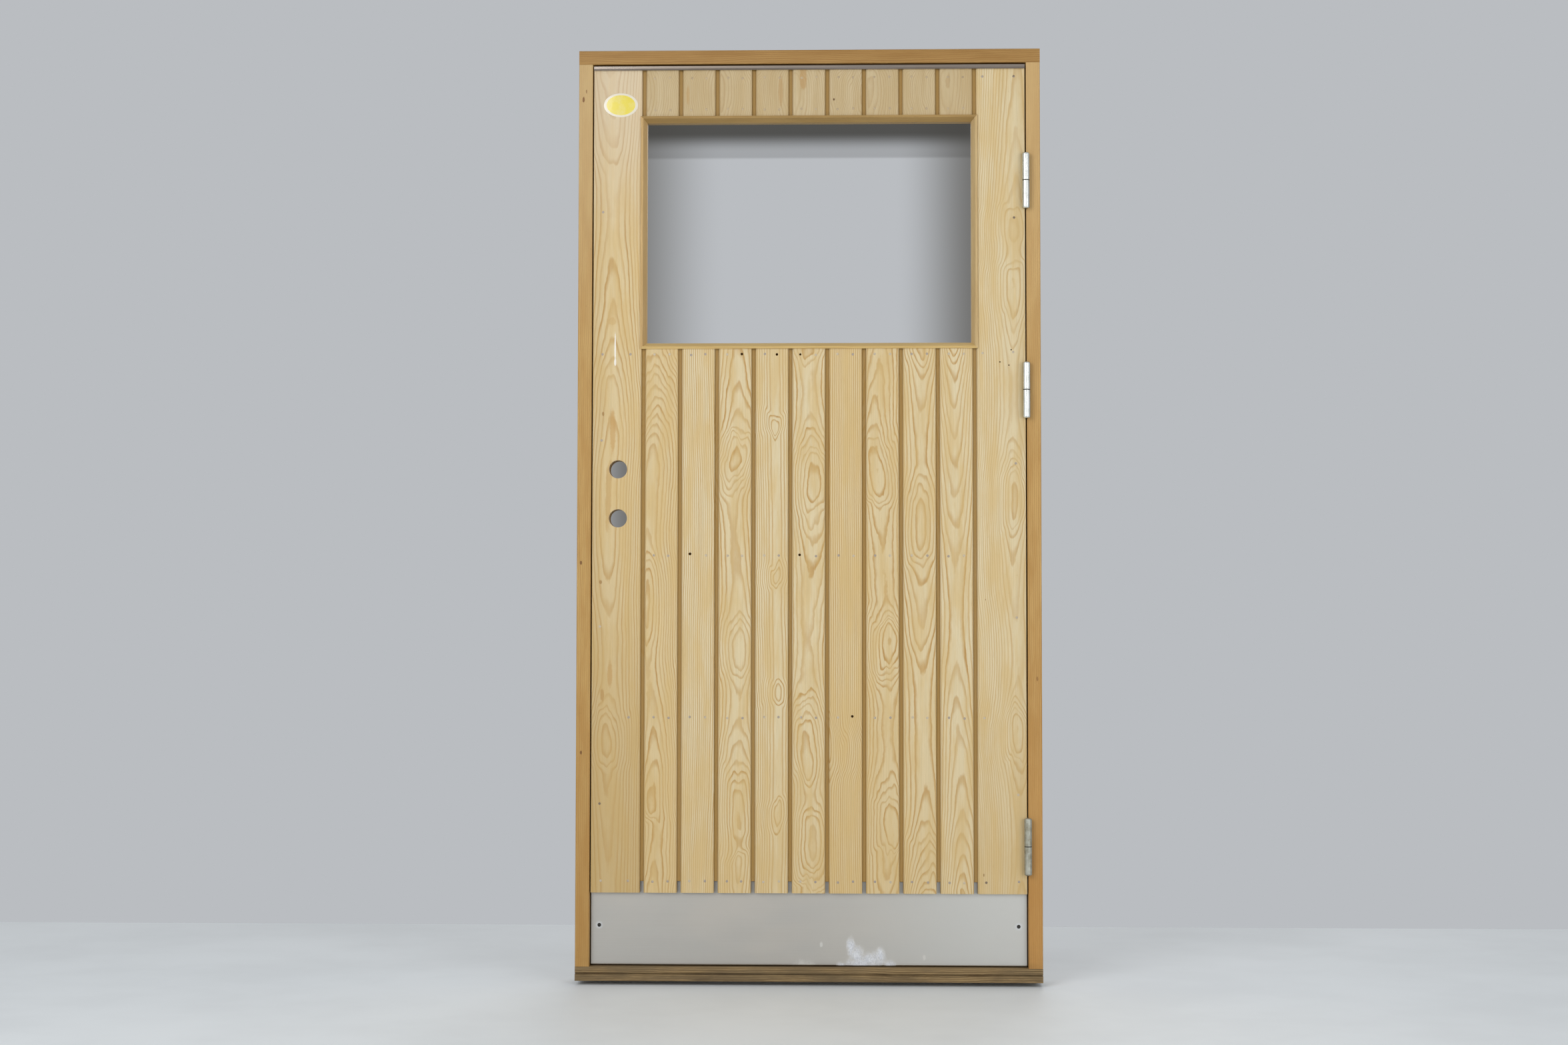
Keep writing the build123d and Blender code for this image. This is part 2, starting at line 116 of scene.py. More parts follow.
def axes(tree, vector):
    node = put(tree, "ShaderNodeSeparateXYZ")
    feed(tree, node.inputs[0], vector)
    return node.outputs


def distance(tree, a, b):
    return calc(tree, "SQRT", calc(tree, "ADD", calc(tree, "MULTIPLY", a, a), calc(tree, "MULTIPLY", b, b)))


def ellipseMask(tree, x, z, place, size, edge):
    # 1 inside, 0 outside, soft between
    across = calc(tree, "DIVIDE", calc(tree, "SUBTRACT", x, place[0]), size[0])
    up = calc(tree, "DIVIDE", calc(tree, "SUBTRACT", z, place[1]), size[1])
    return spread(tree, distance(tree, across, up), 1.0 - edge, 1.0, 1.0, 0.0)


def startGroup(name, inputs, outputs):
    # inputs: name -> default, a tuple makes a vector socket
    tree = bpy.data.node_groups.new(name, "ShaderNodeTree")
    for label, default in inputs.items():
        kind = "NodeSocketVector" if isinstance(default, tuple) else "NodeSocketFloat"
        socket = tree.interface.new_socket(label, in_out="INPUT", socket_type=kind)
        socket.default_value = default
    for label in outputs:
        tree.interface.new_socket(label, in_out="OUTPUT", socket_type="NodeSocketFloat")
    start = tree.nodes.new("NodeGroupInput")
    end = tree.nodes.new("NodeGroupOutput")
    return tree, start.outputs, end.inputs


def useGroup(tree, group, **values):
    node = put(tree, "ShaderNodeGroup", node_tree=group)
    for key, value in values.items():
        feed(tree, node.inputs[key], value)
    return node.outputs


def startMaterial(name):
    material = bpy.data.materials.new(name)
    material.use_nodes = True
    tree = material.node_tree
    shader = tree.nodes["Principled BSDF"]
    place = put(tree, "ShaderNodeTexCoord").outputs["Object"]
    return material, tree, shader, place


def addBump(tree, shader, height, strength, distance):
    node = put(tree, "ShaderNodeBump")
    node.inputs["Strength"].default_value = strength
    node.inputs["Distance"].default_value = distance
    feed(tree, node.inputs["Height"], height)
    feed(tree, shader.inputs["Normal"], node.outputs["Normal"])


def dress(node, material):
    mesh = nodes[node].data
    mesh.materials.clear()
    mesh.materials.append(material)


# pine grain: growth rings round a pith line under the face, the grain's length along Z

grainShape = {
    # noise scales across, into and along the timber
    "sway": (5.0, 5.0, 3.4), "lean": (2.0, 2.0, 2.2), "ripple": (34.0, 34.0, 17.0),
    "fibre": (700.0, 700.0, 9.0), "blotch": (42.0, 42.0, 6.5), "ducts": (1500.0, 1500.0, 60.0),
    "secondSeed": 37.0,
    # how far noise shifts the rings, in shares of Sway and Ripple
    "swayReach": 4.0, "leanReach": 3.0, "rippleReach": 4.0,
    # the late wood within a year, and how weak a year or a slanting cut gets
    "lateRise": (0.44, 0.85), "lateFall": (0.87, 1.0), "weakYear": 0.5, "weakCut": 0.75, "steepCut": 0.45,
    "ductRange": (0.70, 0.80),
}


def makePineGrain():
    shape = grainShape
    tree, given, out = startGroup(
        "pineGrain",
        {"Vector": (0.0, 0.0, 0.0), "PithSide": 0.0, "PithDepth": 0.04, "RingGap": 0.004, "Sway": 0.004,
         "Ripple": 0.001, "Seed": 0.0},
        ["Ring", "Fibre", "Blotch", "Resin"],
    )
    seed = given["Seed"]
    seedTwo = calc(tree, "ADD", seed, shape["secondSeed"])

    def cloud(kind, detail, rough, w):
        return noise(tree, stretch(tree, given["Vector"], shape[kind]), 1.0, detail, rough, w)

    def shift(value, amount, reach):
        # noise about its middle, as a length
        return calc(tree, "MULTIPLY", calc(tree, "SUBTRACT", value, 0.5),
                    calc(tree, "MULTIPLY", amount, reach))

    sway = shift(cloud("sway", 3.0, 0.5, seed), given["Sway"], shape["swayReach"])
    lean = shift(cloud("lean", 1.0, 0.5, seedTwo), given["Sway"], shape["leanReach"])
    ripple = shift(cloud("ripple", 3.5, 0.6, seed), given["Ripple"], shape["rippleReach"])
    spot = axes(tree, given["Vector"])
    across = calc(tree, "SUBTRACT", calc(tree, "SUBTRACT", spot[0], given["PithSide"]), lean)
    down = calc(tree, "ADD", calc(tree, "ADD", spot[1], given["PithDepth"]), sway)
    radius = distance(tree, across, down)
    ring = calc(tree, "DIVIDE", calc(tree, "ADD", radius, ripple), given["RingGap"])
    phase = calc(tree, "FRACT", ring)
    year = put(tree, "ShaderNodeTexWhiteNoise", noise_dimensions="1D")
    feed(tree, year.inputs["W"], calc(tree, "ADD", calc(tree, "FLOOR", ring), seed))
    strong = spread(tree, year.outputs["Value"], 0.0, 1.0, shape["weakYear"], 1.0, "LINEAR")
    # a ring that is cut at a slant shows broad and weak
    slant = calc(tree, "DIVIDE", calc(tree, "ABSOLUTE", across), radius)
    cut = spread(tree, slant, 0.0, shape["steepCut"], shape["weakCut"], 1.0)
    strong = calc(tree, "MULTIPLY", strong, cut)
    late = calc(tree, "MULTIPLY", spread(tree, phase, *shape["lateRise"]),
                spread(tree, phase, *shape["lateFall"], 1.0, 0.0))
    feed(tree, out["Ring"], calc(tree, "MULTIPLY", late, strong))
    feed(tree, out["Fibre"], cloud("fibre", 2.0, 0.6, seed))
    feed(tree, out["Blotch"], cloud("blotch", 3.0, 0.6, seedTwo))
    feed(tree, out["Resin"], spread(tree, cloud("ducts", 0.0, 0.5, seedTwo), *shape["ductRange"]))
    return tree


pineGrain = makePineGrain()


# grime: a soft dark mask that gathers low down and in noise patches

grimePatch = {"scale": (9.0, 9.0, 30.0), "detail": 4.0, "rough": 0.65, "range": (0.35, 0.75)}


def makeGrime():
    shape = grimePatch
    tree, given, out = startGroup(
        "grime",
        {"Vector": (0.0, 0.0, 0.0), "Top": 0.2, "Amount": 0.5, "Seed": 0.0},
        ["Mask"],
    )
    low = spread(tree, axes(tree, given["Vector"])[2], 0.0, given["Top"], 1.0, 0.0)
    patch = noise(tree, stretch(tree, given["Vector"], shape["scale"]), 1.0, shape["detail"], shape["rough"],
                  given["Seed"])
    patch = spread(tree, patch, *shape["range"])
    mask = calc(tree, "MULTIPLY", calc(tree, "MULTIPLY", low, patch), given["Amount"])
    feed(tree, out["Mask"], mask)
    return tree


grime = makeGrime()
print("stage: shader groups built")


# timber

def turned(tree, place):
    # grain along X instead of Z
    node = put(tree, "ShaderNodeMapping", vector_type="POINT")
    node.inputs["Rotation"].default_value = (0.0, math.pi / 2, 0.0)
    feed(tree, node.inputs["Vector"], place)
    return node.outputs[0]


def follow(tree, along, places, values):
    # a value that runs smoothly through the given values at the given places
    low, high = min(values), max(values)
    start, end = places[0], places[-1]
    node = put(tree, "ShaderNodeFloatCurve")
    points = node.mapping.curves[0].points
    spots = [((place - start) / (end - start), (value - low) / (high - low))
             for place, value in zip(places, values)]
    points[0].location = spots[0]
    points[1].location = spots[-1]
    for spot in spots[1:-1]:
        points.new(*spot)
    for point in points:
        point.handle_type = "AUTO_CLAMPED"
    node.mapping.update()
    feed(tree, node.inputs["Value"], spread(tree, along, start, end, 0.0, 1.0, "LINEAR"))
    return spread(tree, node.outputs[0], 0.0, 1.0, low, high, "LINEAR")


timberShape = {
    "wander": (26.0, 26.0, 8.0), "wanderReach": 0.11,  # noise that shifts the course of the pith
    "blotchRange": (0.36, 0.66), "fibreRange": (0.25, 0.75), "raggedScale": 160.0, "markEdge": 0.7,
    "markRange": (0.15, 0.75), "jointDepth": (0.003, 0.0054), "ringPolish": 0.08, "bumpDepth": 0.0004,
}


def timber(name, look, grain, level=False):
    shape = timberShape
    material, tree, shader, place = startMaterial(name)
    vector = turned(tree, place) if level else place
    x, y, z = axes(tree, place)
    settings = {key: value for key, value in grain.items() if key != "path"}
    if "path" in grain:
        heights, depths, sides = zip(*sorted(grain["path"]))
        # the course wanders, so that no loop is a clean oval
        wander = noise(tree, stretch(tree, place, shape["wander"]), 1.0, 2.0, 0.5, grain["Seed"])
        wander = calc(tree, "MULTIPLY", calc(tree, "SUBTRACT", wander, 0.5), shape["wanderReach"])
        along = calc(tree, "ADD", z, wander)
        settings["PithDepth"] = follow(tree, along, heights, depths)
        settings["PithSide"] = follow(tree, along, heights, sides)
    made = useGroup(tree, pineGrain, Vector=vector, **settings)
    ring = calc(tree, "MULTIPLY", made["Ring"], look["contrast"])
    colour = blendColour(tree, ring, look["early"], look["late"])
    tone = spread(tree, made["Blotch"], *shape["blotchRange"], 0.0, look["blotch"])
    colour = blendColour(tree, tone, colour, look["stain"])
    fibre = look["fibre"]
    streak = spread(tree, made["Fibre"], *shape["fibreRange"], 1.0 - fibre, 1.0 + fibre * 0.5, "LINEAR")
    grey = put(tree, "ShaderNodeCombineColor")
    for socket in grey.inputs:
        feed(tree, socket, streak)
    colour = blendColour(tree, 1.0, colour, grey.outputs[0], "MULTIPLY")
    colour = blendColour(tree, calc(tree, "MULTIPLY", made["Resin"], look["resin"]), colour, look["late"])
    for tint, low, high, share in look.get("heightTints", ()):
        colour = blendColour(tree, spread(tree, z, low, high, 0.0, share), colour, tint)
    ragged = calc(tree, "SUBTRACT", noise(tree, place, shape["raggedScale"], 3.0, 0.6), 0.5)
    for middle, size, tint, share in look.get("marks", ()):
        spot = calc(tree, "ADD", ellipseMask(tree, x, z, middle, size, shape["markEdge"]), ragged)
        colour = blendColour(tree, spread(tree, spot, *shape["markRange"], 0.0, share), colour, tint)
    if "grime" in look:
        dirt = useGroup(tree, grime, Vector=place, Top=look["grimeTop"], Amount=look["grime"],
                        Seed=grain["Seed"])
        colour = blendColour(tree, dirt["Mask"], colour, look["dirt"])
    # painted shade deep in the grooves: the tongues darken behind the boards' faces
    if "jointShade" in look:
        near, far = (leafFace + depth for depth in shape["jointDepth"])
        colour = blendColour(tree, spread(tree, y, near, far, 0.0, look["jointShadeShare"]), colour, look["jointShade"])
    # painted shade beside the joints and outer edges
    for edge, reach, share in look.get("edges", ()):
        away = calc(tree, "ABSOLUTE", calc(tree, "SUBTRACT", x, edge))
        colour = blendColour(tree, spread(tree, away, 0.0, reach, share, 0.0), colour, look["jointShade"])
    feed(tree, shader.inputs["Base Color"], colour)
    rough = spread(tree, made["Ring"], 0.0, 1.0, look["rough"], look["rough"] - shape["ringPolish"], "LINEAR")
    feed(tree, shader.inputs["Roughness"], rough)
    shader.inputs["Specular IOR Level"].default_value = look["gloss"]
    height = calc(tree, "MULTIPLY", calc(tree, "ADD", made["Ring"], made["Fibre"]), 0.5)
    addBump(tree, shader, height, look["bump"], shape["bumpDepth"])
    return material


def colour255(r, g, b):
    # 0 to 255 as a picture shows it, to Blender's linear values
    def linear(value):
        share = value / 255
        return share / 12.92 if share <= 0.04045 else ((share + 0.055) / 1.055) ** 2.4
    return (linear(r), linear(g), linear(b), 1.0)


boardLook = {
    "early": colour255(215, 199, 162), "late": colour255(182, 143, 84), "stain": colour255(204, 174, 116),
    "contrast": 1.2, "blotch": 0.6, "fibre": 0.09, "resin": 0.25, "rough": 0.55, "gloss": 0.25, "bump": 0.22,
    # painted shade in the grooves, over the tongues
    "jointShade": colour255(150, 115, 53), "jointShadeShare": 0.85,
}
# darker towards the bottom
longHeightTints = ((colour255(196, 166, 110), 0.7, 0.1, 0.25),)  # tint, from height, to height, share
# a path gives, down the board, the height, the depth of the pith under the face
# and its way off the centre line
longBoards = [
    {"tone": 0.40, "Sway": 0.004, "Ripple": 0.0011,
     "path": (
         (1.345, 0.092, -0.022), (1.240, 0.072, -0.018), (1.100, 0.050, -0.020), (0.950, 0.045, -0.030),
         (0.780, 0.028, -0.032), (0.640, 0.034, -0.024), (0.500, 0.030, -0.014), (0.378, 0.022, -0.018),
         (0.320, 0.030, -0.006), (0.190, 0.026, -0.014),
     )},
    {"tone": 0.0, "Sway": 0.004, "Ripple": 0.0008,
     "path": ((1.345, 0.030, 0.088), (0.780, 0.034, 0.096), (0.190, 0.030, 0.086))},
    {"tone": 0.1, "Sway": 0.002, "Ripple": 0.0009,
     "path": (
         (1.345, 0.058, 0.006), (1.250, 0.052, 0.008), (1.180, 0.044, 0.010), (1.110, 0.031, 0.002),
         (1.050, 0.040, -0.006), (0.950, 0.050, 0.000), (0.800, 0.046, 0.008), (0.698, 0.034, 0.011),
         (0.600, 0.046, 0.010), (0.482, 0.038, 0.008), (0.330, 0.020, 0.010), (0.290, 0.024, 0.010),
         (0.247, 0.014, 0.010), (0.190, 0.018, 0.009),
     )},
    {"tone": 0.0, "Sway": 0.001, "Ripple": 0.0006,
     "path": (
         (1.345, 0.0178, 0.006), (1.215, 0.0176, 0.007), (1.178, 0.009, 0.007), (1.140, 0.0176, 0.008),
         (0.890, 0.0176, 0.011), (0.859, 0.009, 0.011), (0.826, 0.0176, 0.011), (0.640, 0.0176, 0.014),
         (0.606, 0.010, 0.014), (0.570, 0.0176, 0.014), (0.385, 0.0176, 0.014), (0.355, 0.009, 0.014),
         (0.320, 0.0176, 0.014), (0.190, 0.0178, 0.012),
     )},
    {"tone": 0.05, "Sway": 0.005, "Ripple": 0.0012,
     "path": (
         (1.345, 0.052, 0.000), (1.268, 0.060, 0.000), (1.150, 0.050, 0.008), (1.054, 0.037, 0.012),
         (0.980, 0.044, 0.010), (0.860, 0.054, 0.006), (0.700, 0.058, 0.000), (0.560, 0.042, -0.006),
         (0.473, 0.031, -0.002), (0.400, 0.040, 0.006), (0.304, 0.028, 0.010), (0.190, 0.050, 0.004),
     )},
    {"tone": 0.35, "Sway": 0.003, "Ripple": 0.0007,
     "path": (
         (1.345, 0.030, -0.082), (1.000, 0.030, -0.080), (0.580, 0.028, -0.082), (0.487, 0.028, -0.066),
         (0.400, 0.028, -0.080), (0.190, 0.030, -0.078),
     )},
    {"tone": 0.25, "Sway": 0.004, "Ripple": 0.0013,
     "path": (
         (1.345, 0.056, -0.004), (1.250, 0.052, -0.012), (1.167, 0.044, -0.018), (1.072, 0.034, -0.010),
         (1.000, 0.046, -0.004), (0.850, 0.050, 0.005), (0.770, 0.042, 0.012), (0.713, 0.030, 0.014),
         (0.655, 0.040, 0.012), (0.520, 0.054, 0.010), (0.388, 0.040, 0.012), (0.318, 0.031, 0.018),
         (0.270, 0.042, 0.012), (0.190, 0.048, 0.006),
     )},
    {"tone": 0.15, "Sway": 0.001, "Ripple": 0.0007,
     "path": (
         (1.345, 0.028, 0.004), (1.240, 0.040, 0.004), (1.100, 0.044, 0.004), (0.982, 0.031, 0.003),
         (0.870, 0.042, 0.004), (0.760, 0.050, 0.005), (0.553, 0.060, 0.007), (0.380, 0.058, 0.012),
         (0.290, 0.044, 0.017), (0.220, 0.030, 0.021), (0.190, 0.022, 0.020),
     )},
    {"tone": 0.0, "Sway": 0.001, "Ripple": 0.0007,
     "path": (
         (1.345, 0.012, -0.006), (1.260, 0.026, -0.005), (1.150, 0.034, -0.003), (1.000, 0.043, -0.002),
         (0.920, 0.048, -0.002), (0.770, 0.052, 0.000), (0.619, 0.047, 0.002), (0.544, 0.043, 0.004),
         (0.384, 0.034, 0.011), (0.319, 0.029, 0.013), (0.244, 0.022, 0.013), (0.190, 0.016, 0.012),
     )},
]


def boardGrain(box, board, seed):
    # the pith is given from the middle of the board's face, which leaves out the tongue
    tongue = boardTongue if board.get("tongued", True) else 0.0
    centre = (box[0].x + tongue + box[1].x) / 2
    grain = {key: board[key] for key in ("Sway", "Ripple")}
    grain["RingGap"] = board.get("RingGap", 0.0042)
    grain["Seed"] = float(seed)
    grain["path"] = [(height, depth - leafFace, centre + side) for height, depth, side in board["path"]]
    return grain


def toned(look, amount):
    # a board's own share of the deeper tone
    made = dict(look)
    made["early"] = tuple(a + (b - a) * amount for a, b in zip(look["early"], look["stain"]))
    return made


wideBoards = {
    "lock": {
        "tone": 0.36, "tongued": False, "Sway": 0.0012, "Ripple": 0.0007, "RingGap": 0.0042,
        "contrast": 1.05,
        "path": (
            (1.955, 0.048, -0.016), (1.800, 0.057, -0.014), (1.640, 0.066, -0.010), (1.540, 0.063, -0.011),
            (1.400, 0.057, -0.011), (1.297, 0.049, -0.011), (1.220, 0.042, -0.010), (1.016, 0.036, -0.018),
            (0.850, 0.041, -0.018), (0.670, 0.047, -0.013), (0.590, 0.042, -0.018), (0.507, 0.031, -0.020),
            (0.430, 0.040, -0.018), (0.190, 0.047, -0.014),
        ),
        "heightTints": ((colour255(176, 146, 92), 1.25, 0.1, 0.55),
                  (colour255(211, 197, 178), 1.5, 1.95, 0.48)),
        "marks": (((-0.4148, 1.344), (0.0024, 0.046), colour255(236, 232, 222), 0.9),
                  ((-0.4146, 1.316), (0.0036, 0.012), colour255(236, 232, 222), 0.8),
                  ((-0.4400, 1.205), (0.0035, 0.007), colour255(150, 112, 62), 0.7),
                  ((-0.4440, 0.845), (0.0050, 0.006), colour255(150, 112, 62), 0.7),
                  ((-0.4393, 0.604), (0.0060, 0.020), colour255(172, 132, 76), 0.6),
                  ((-0.4190, 1.168), (0.0085, 0.066), colour255(190, 150, 90), 0.65),
                  ((-0.4220, 1.404), (0.0120, 0.013), colour255(190, 152, 94), 0.40),
                  ((-0.4235, 0.648), (0.0080, 0.040), colour255(182, 142, 84), 0.55)),
        "edgeShade": 0.16,
    },
    "hinge": {
        "tone": 0.05, "Sway": 0.001, "Ripple": 0.0006, "RingGap": 0.0040, "contrast": 0.8,
        "path": (
            (1.955, 0.052, 0.036), (1.800, 0.047, 0.034), (1.660, 0.041, 0.030), (1.590, 0.034, 0.028),
            (1.548, 0.037, 0.028), (1.490, 0.028, 0.027), (1.400, 0.036, 0.026), (1.250, 0.043, 0.026),
            (1.080, 0.028, 0.028), (1.025, 0.019, 0.029), (0.960, 0.026, 0.027), (0.870, 0.032, 0.026),
            (0.680, 0.036, 0.036), (0.575, 0.026, 0.034), (0.516, 0.016, 0.033), (0.455, 0.026, 0.035),
            (0.300, 0.034, 0.039), (0.190, 0.030, 0.040),
        ),
        "heightTints": ((colour255(190, 160, 106), 0.8, 0.1, 0.35),),
        "marks": (((0.3710, 0.226), (0.0016, 0.005), colour255(120, 84, 44), 0.8),
                  ((0.3760, 0.808), (0.0014, 0.002), colour255(130, 92, 50), 0.7)),
        "edgeShade": 0.12,
    },
}

shortLook = dict(boardLook, early=colour255(197, 178, 141), late=colour255(165, 133, 88),
                 stain=colour255(182, 156, 110), contrast=0.6, blotch=0.5)
shortBoards = {
    "Sway": 0.004, "Ripple": 0.0008, "RingGap": 0.0038, "aside": 0.05, "asideStep": 0.003,
    # height, depth and share of the way aside
    "course": ((1.84, 0.034, 1.0), (1.90, 0.030, 0.9), (1.96, 0.036, 1.1)),
    "toneStep": 0.06, "tones": 5,
}
# stains and one small knot on the short boards, by the board's number
shortMarks = {
    2: (((-0.2600, 1.893), (0.0050, 0.030), colour255(180, 144, 90), 0.5),),
    4: (((-0.0600, 1.900), (0.0070, 0.048), colour255(174, 138, 86), 0.5),),
    5: (((-0.0120, 1.930), (0.0110, 0.040), colour255(176, 138, 84), 0.6),),
    6: (((0.0540, 1.882), (0.0026, 0.0040), colour255(92, 62, 34), 0.95),),
}


# painted shade beside the boards' joints and the wide boards' outer edges
jointEdgeShade = {"tongue": (0.0060, 0.14), "groove": (0.0050, 0.16), "outerReach": 0.040}  # reach and share


def jointEdges(box, tongued, grooved):
    # painted shade along a board's two joints
    edges = [(box[0].x + boardTongue, *jointEdgeShade["tongue"])] if tongued else []
    return edges + ([(box[1].x, *jointEdgeShade["groove"])] if grooved else [])


def dressBoards():
    for number in range(1, 10):
        name = "board_long_%d" % number
        board = longBoards[number - 1]
        look = toned(boardLook, board["tone"])
        look["heightTints"] = longHeightTints
        look["edges"] = jointEdges(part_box(name), True, True)
        dress(name, timber("longBoard%d" % number, look, boardGrain(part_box(name), board, 10 * number)))
        name = "board_short_%d" % number
        side = shortBoards["aside"] * (-1) ** number + shortBoards["asideStep"] * number
        course = [(height, depth, side * share) for height, depth, share in shortBoards["course"]]
        grain = boardGrain(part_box(name), dict(shortBoards, path=course), 10 * number + 5)
        look = toned(shortLook, shortBoards["toneStep"] * (number % shortBoards["tones"]))
        look["edges"] = jointEdges(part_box(name), True, True)
        look["marks"] = shortMarks.get(number, ())
        dress(name, timber("shortBoard%d" % number, look, grain))
    for side, seed in (("lock", 201), ("hinge", 211)):
        name = "board_wide_" + side
        wide = wideBoards[side]
        look = toned(boardLook, wide["tone"])
        look.update({key: wide[key] for key in ("heightTints", "marks", "contrast")})
        look["edges"] = jointEdges(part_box(name), side == "hinge", side == "lock")
        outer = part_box(name)[0].x if side == "lock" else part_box(name)[1].x
        look["edges"].append((outer, jointEdgeShade["outerReach"], wide["edgeShade"]))
        dress(name, timber("wideBoard" + side.title(), look, boardGrain(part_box(name), wide, seed)))


dressBoards()

frameLook = {
    "early": colour255(190, 153, 92), "late": colour255(150, 102, 46), "stain": colour255(168, 124, 62),
    "contrast": 0.6, "blotch": 0.6, "fibre": 0.1, "resin": 0.3, "rough": 0.5, "gloss": 0.3, "bump": 0.2,
    "grime": 0.35, "grimeTop": 0.10, "dirt": colour255(92, 66, 38),
}
# the jambs run from a paler top to a deeper foot
jambHeightTints = {
    "lock": ((colour255(200, 178, 136), 1.2, 1.95, 0.42), (colour255(162, 120, 62), 0.8, 0.1, 0.5)),
    "hinge": ((colour255(204, 176, 128), 1.0, 1.95, 0.45), (colour255(176, 122, 58), 0.8, 0.1, 0.5)),
}
jambTones = {"lock": colour255(187, 151, 90), "hinge": colour255(191, 153, 92)}
headLook = dict(frameLook, early=colour255(166, 128, 72), late=colour255(130, 88, 38),
                stain=colour255(146, 106, 52))
straightGrain = {"PithDepth": 0.07, "RingGap": 0.0042, "Sway": 0.007, "Ripple": 0.0014}
jambKnots = {
    "lock": (((-0.4850, 1.884), (0.0035, 0.009), colour255(112, 70, 34), 0.85),
             ((-0.4790, 1.902), (0.0022, 0.006), colour255(112, 70, 34), 0.6),
             ((-0.4860, 0.886), (0.0040, 0.006), colour255(104, 66, 32), 0.8),
             ((-0.4840, 0.482), (0.0035, 0.006), colour255(104, 66, 32), 0.8)),
    "hinge": (((0.4850, 0.640), (0.0030, 0.007), colour255(112, 70, 34), 0.5),),
}


def dressFrame():
    for side, place, seed in (("lock", -0.55, 301.0), ("hinge", 0.55, 311.0)):
        look = dict(frameLook, marks=jambKnots[side], heightTints=jambHeightTints[side], early=jambTones[side])
        grain = dict(straightGrain, PithSide=place, Seed=seed)
        dress("frame_jamb_" + side, timber("jamb" + side.title(), look, grain))
    grain = dict(straightGrain, PithSide=1.93, Seed=321.0)
    dress("frame_head", timber("headTimber", headLook, grain, level=True))


dressFrame()

sillLook = {
    "early": colour255(152, 128, 90), "late": colour255(88, 66, 38), "stain": colour255(114, 97, 71),
    "contrast": 1.1, "blotch": 0.8, "fibre": 0.22, "resin": 0.3, "rough": 0.75, "gloss": 0.2, "bump": 0.6,
    "grime": 0.7, "grimeTop": 0.04, "dirt": colour255(70, 56, 40),
}
sillGrain = dict(straightGrain, PithSide=-0.03, Seed=331.0)
dress("frame_sill", timber("sillTimber", sillLook, sillGrain, level=True))

liningLook = {
    "early": colour255(194, 164, 114), "late": colour255(152, 114, 64), "stain": colour255(172, 138, 86),
    "contrast": 0.5, "blotch": 0.4, "fibre": 0.08, "resin": 0.3, "rough": 0.55, "gloss": 0.25, "bump": 0.2,
}
# the head lining's darker tone is painted shade, and the sill lining's paler tone is painted light
liningShadeAndLight = {
    "head": {"early": colour255(164, 134, 82), "stain": colour255(140, 110, 60)},
    "sill": {"early": colour255(206, 177, 115), "stain": colour255(188, 153, 88)},
    "lock": {"early": colour255(198, 166, 114), "stain": colour255(177, 142, 88)},
    "hinge": {"early": colour255(200, 174, 126)},
}


def dressLining():
    sides = (("head", 1.9, True), ("sill", 1.3, True), ("lock", -0.40, False), ("hinge", 0.40, False))
    for side, place, level in sides:
        look = dict(liningLook, **liningShadeAndLight[side])
        grain = dict(straightGrain, PithSide=place, Seed=341.0 + place * 10)
        dress("window_lining_" + side, timber("lining" + side.title(), look, grain, level=level))


dressLining()

coreLook = dict(boardLook, early=colour255(216, 192, 148), rough=0.6)


def dressCore():
    for side, place in (("lock", -0.43), ("hinge", 0.43)):
        grain = dict(straightGrain, PithSide=place, PithDepth=0.05, Seed=401.0 + place)
        dress("stile_" + side, timber("stile" + side.title(), coreLook, grain))
    rails = ("rail_top", "rail_window", "rail_middle_upper", "rail_middle_lower", "rail_bottom")
    for number, name in enumerate(rails):
        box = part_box(name)
        grain = dict(straightGrain, PithSide=(box[0].z + box[1].z) / 2, Seed=420.0 + number)
        dress(name, timber("core" + name.title().replace("_", ""), coreLook, grain, level=True))


dressCore()
print("stage: timber dressed")


# back panel: smooth brown hardboard with a fine fleck

backPanel = {
    "base": colour255(132, 100, 66), "fleck": colour255(104, 76, 48), "fleckScale": 900.0, "fleckShare": 0.6,
    "cloudScale": 5.0, "cloudShare": 0.4, "rough": 0.55, "cloudRough": 0.65,
    "bump": 0.15, "bumpDepth": 0.0003,
}


def hardboard():
    look = backPanel
    material, tree, shader, place = startMaterial("hardboard")
    fleck = spread(tree, noise(tree, place, look["fleckScale"], 3.0, 0.6), 0.45, 0.7)
    share = look["cloudShare"]
    cloud = spread(tree, noise(tree, place, look["cloudScale"], 3.0, 0.6), 0.3, 0.7, 0.0, share, "LINEAR")
    colour = blendColour(tree, calc(tree, "MULTIPLY", fleck, look["fleckShare"]), look["base"], look["fleck"])
    feed(tree, shader.inputs["Base Color"], blendColour(tree, cloud, colour, look["fleck"]))
    feed(tree, shader.inputs["Roughness"], spread(tree, cloud, 0.0, share, look["rough"], look["cloudRough"]))
    addBump(tree, shader, fleck, look["bump"], look["bumpDepth"])
    return material


panelSkin = hardboard()
for side in ("upper", "lower", "lock", "hinge"):
    dress("back_panel_" + side, panelSkin)


# metal

